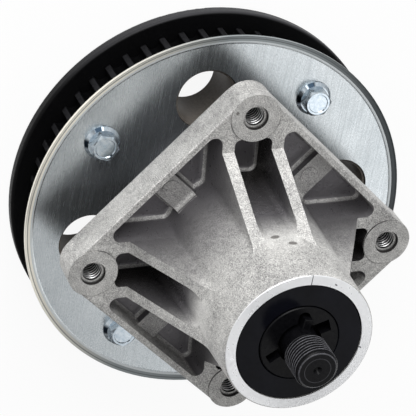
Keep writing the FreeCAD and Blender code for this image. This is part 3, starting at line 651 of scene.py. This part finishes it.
# Thread turns of the blade stud, 5/8 in with 18 turns to the inch: they fade in above the seat
stud = {
    "major": 7.94,
    "minor": 7.1,
    "core": 6.7,
    "inner": 6.6,
    "start": 66.2,
    "end": 78.8,
    "pitch": 25.4 / 18,
    "crest": 0.14,
    "root": 0.86,
    "chamfer": 1.1,
    "fadeRadius": 6.95,
    "fadeLength": 1.0,
    "rows": 170,
    "columns": 96,
}
angle = np.linspace(0, 2 * math.pi, stud["columns"], endpoint=False)[None, :]
level = np.linspace(stud["start"], stud["end"] - 0.02, stud["rows"])[:, None]
depth = threadRise(level / stud["pitch"] - angle / (2 * math.pi), stud["crest"], stud["root"])
radiusGrid = stud["minor"] + (stud["major"] - stud["minor"]) * depth
chamfer = stud["major"] - np.clip(level - (stud["end"] - stud["chamfer"]), 0, None)
radiusGrid = np.minimum(radiusGrid, chamfer)
lead = np.clip((level - stud["start"]) / stud["fadeLength"], 0, 1)
radiusGrid = stud["fadeRadius"] + (radiusGrid - stud["fadeRadius"]) * (0.15 + 0.85 * lead)
outer = ringGrid(radiusGrid, angle, level)
inner = ringGrid(stud["inner"], angle, level[[-1, 0]])
rings = [np.concatenate([outer, inner]) * mm]
ringMesh("studThread", rings, materials["blackened_steel"], "rotor")

# The shaft's mesh with its stud core drawn in to the thread's root and its loose triangles merged
source = parts["spindle_shaft"].data
points = np.empty(len(source.vertices) * 3)
source.vertices.foreach_get("co", points)
points = points.reshape(-1, 3)
corners = np.empty(len(source.loops), np.int32)
source.loops.foreach_get("vertex_index", corners)
reach = np.hypot(points[:, 0], points[:, 1])
studCore = (points[:, 2] > (stud["start"] - 0.01) * mm) & (reach > stud["core"] * mm)
points[studCore, :2] *= (stud["core"] * mm / reach[studCore])[:, None]
points, merged = np.unique(points.round(7), axis=0, return_inverse=True)
faces = merged.reshape(-1)[corners].reshape(-1, 3)
faces = faces[(faces != np.roll(faces, 1, axis=1)).all(axis=1)]
data = bpy.data.meshes.new("threadedShaft")
data.from_pydata(points.tolist(), [], faces.tolist())
data.update()
data.materials.append(materials["blackened_steel"])
data.polygons.foreach_set("use_smooth", np.full(len(faces), True))
data.set_sharp_from_angle(angle=math.radians(30))
shaft = bpy.data.objects.new("threadedShaft", data)
bpy.context.scene.collection.objects.link(shaft)
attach(shaft, "rotor")
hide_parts("spindle_shaft")

# Thread turns in the four deck holes, 5/16 in with 18 turns to the inch: they stand in from the wall
hole = {
    "wall": 3.85,
    "minor": 3.34,
    "major": 3.72,
    "top": -1.7,
    "bottom": -12.4,
    "pitch": 25.4 / 18,
    "crest": 0.1,
    "root": 0.64,
    "fadeLength": 0.7,
    "rows": 112,
    "columns": 48,
}
angle = np.linspace(0, 2 * math.pi, hole["columns"], endpoint=False)[None, :]
level = np.linspace(hole["bottom"], hole["top"], hole["rows"])[:, None]
depth = threadRise(level / hole["pitch"] - angle / (2 * math.pi), hole["crest"], hole["root"])
lead = np.clip((hole["top"] - level) / hole["fadeLength"], 0, 1)
radiusGrid = hole["major"] - (hole["major"] - hole["minor"]) * depth * lead
rings = []
for sx in (-deckHoleOffset, deckHoleOffset):
    for sy in (-deckHoleOffset, deckHoleOffset):
        inner = ringGrid(radiusGrid, angle, level, (sx, sy))
        wall = ringGrid(hole["wall"], angle, level[[-1, 0]], (sx, sy))
        rings.append(np.concatenate([inner, wall])[::-1] * mm)
ringMesh("deckHoleThreads", rings, materials["tapped_aluminium"], "housing")
print("stage: threads")

# Floor, white where the camera or a reflection sees it, with the object's soft shadow kept. The gap of
# 0.05 mm keeps it out of the plane of the part's lowest face
studioFloor = {"size": 4.0, "gap": 0.00005, "colour": "#f2f2f2", "roughness": 0.9, "white": 0.92}
size = studioFloor["size"]
level = boxBefore[0].z - studioFloor["gap"]
corners = [(-size, -size, level), (size, -size, level), (size, size, level), (-size, size, level)]
data = bpy.data.meshes.new("studioFloor")
data.from_pydata(corners, [], [(0, 1, 2, 3)])
material = bpy.data.materials.new("paleFloor")
material.use_nodes = True
tree = material.node_tree
shader = tree.nodes["Principled BSDF"]
shader.inputs["Base Color"].default_value = linear(studioFloor["colour"])
shader.inputs["Roughness"].default_value = studioFloor["roughness"]
lightPath = tree.nodes.new("ShaderNodeLightPath").outputs
seen = {0: lightPath["Is Camera Ray"], 1: lightPath["Is Glossy Ray"]}
seen = addNode(tree, mathKind, seen, operation="MAXIMUM")
seen = addNode(tree, mathKind, {0: seen, 1: lightPath["Is Transmission Ray"]}, operation="MAXIMUM")
amount = addNode(tree, mathKind, {0: seen, 1: studioFloor["white"]}, operation="MULTIPLY")
glow = addNode(tree, "ShaderNodeEmission", {"Color": (1, 1, 1, 1), "Strength": 1.0})
mixShader = tree.nodes.new("ShaderNodeMixShader")
tree.links.new(amount, mixShader.inputs[0])
tree.links.new(shader.outputs[0], mixShader.inputs[1])
tree.links.new(glow, mixShader.inputs[2])
tree.links.new(mixShader.outputs[0], tree.nodes["Material Output"].inputs["Surface"])
data.materials.append(material)
floor = bpy.data.objects.new("studioFloor", data)
bpy.context.scene.collection.objects.link(floor)

# World: dark towards +X, paler towards -X and +Y, with a soft patch that the flat metal mirrors
softStudio = {
    "paleSide": (-0.78, 0.5, 0.15),
    "lean": (-0.85, 0.85),
    "tone": (0.08, 0.95),
    "patchAim": (0.67, -0.03, 0.74),
    "patchEdge": (0.962, 0.993),  # cosines of the angle from the aim, from nothing to full
    "patchPower": 1.2,
}
world = bpy.data.worlds.new("softStudio")
bpy.context.scene.world = world
world.use_nodes = True
tree = world.node_tree
direction = tree.nodes.new("ShaderNodeTexCoord").outputs["Generated"]
lean = {0: direction, 1: softStudio["paleSide"]}
lean = addNode(tree, vectorKind, lean, output=1, operation="DOT_PRODUCT")
start, full = softStudio["lean"]
dark, pale = softStudio["tone"]
base = addNode(tree, rangeKind, {0: lean, 1: start, 2: full, 3: dark, 4: pale})
aim = tuple(Vector(softStudio["patchAim"]).normalized())
near = addNode(tree, vectorKind, {0: direction, 1: aim}, output=1, operation="DOT_PRODUCT")
start, full = softStudio["patchEdge"]
patch = {0: near, 1: start, 2: full, 3: 0.0, 4: softStudio["patchPower"]}
patch = addNode(tree, rangeKind, patch, interpolation_type="SMOOTHSTEP")
total = addNode(tree, mathKind, {0: base, 1: patch}, operation="ADD")
background = tree.nodes["Background"]
background.inputs["Color"].default_value = (1.0, 1.0, 1.0, 1.0)
tree.links.new(total, background.inputs["Strength"])

# One large soft lamp, beyond the top of the picture and aimed at the part's origin
keyLamp = {"place": (-0.95, 0.68, 0.54), "target": (0, 0, 0), "size": 1.0, "power": 14.5}
lamp = bpy.data.lights.new("keyLamp", "AREA")
lamp.shape = "DISK"
lamp.size = keyLamp["size"]
lamp.energy = keyLamp["power"]
holder = bpy.data.objects.new("keyLamp", lamp)
bpy.context.scene.collection.objects.link(holder)
away = (Vector(keyLamp["place"]) - Vector(keyLamp["target"])).normalized()
turn = away.to_track_quat("Z", "Y").to_matrix().to_4x4()
holder.matrix_world = Matrix.Translation(keyLamp["place"]) @ turn

# Camera fitted to the photograph: focal length in pixels, place, and right, up and backward directions
photoCamera = {
    "focalPixels": 1968.6,
    "picturePixels": 416,
    "sensor": 36.0,
    "clip": (0.02, 50.0),
    "place": (-0.43917, 0.09670, 0.60138),
    "right": (0.619185, 0.719743, 0.313976),
    "up": (-0.550361, 0.682973, -0.480260),
    "back": (-0.560101, 0.124570, 0.819005),
}
cameraData = bpy.data.cameras.new("photoCamera")
cameraData.sensor_width = photoCamera["sensor"]
cameraData.lens = photoCamera["focalPixels"] / photoCamera["picturePixels"] * photoCamera["sensor"]
cameraData.clip_start, cameraData.clip_end = photoCamera["clip"]
camera = bpy.data.objects.new("photoCamera", cameraData)
bpy.context.scene.collection.objects.link(camera)
turn = Matrix((photoCamera["right"], photoCamera["up"], photoCamera["back"])).transposed().to_4x4()
camera.matrix_world = Matrix.Translation(photoCamera["place"]) @ turn
bpy.context.scene.camera = camera
bpy.context.scene.view_settings.view_transform = "Standard"

print("stage: done")
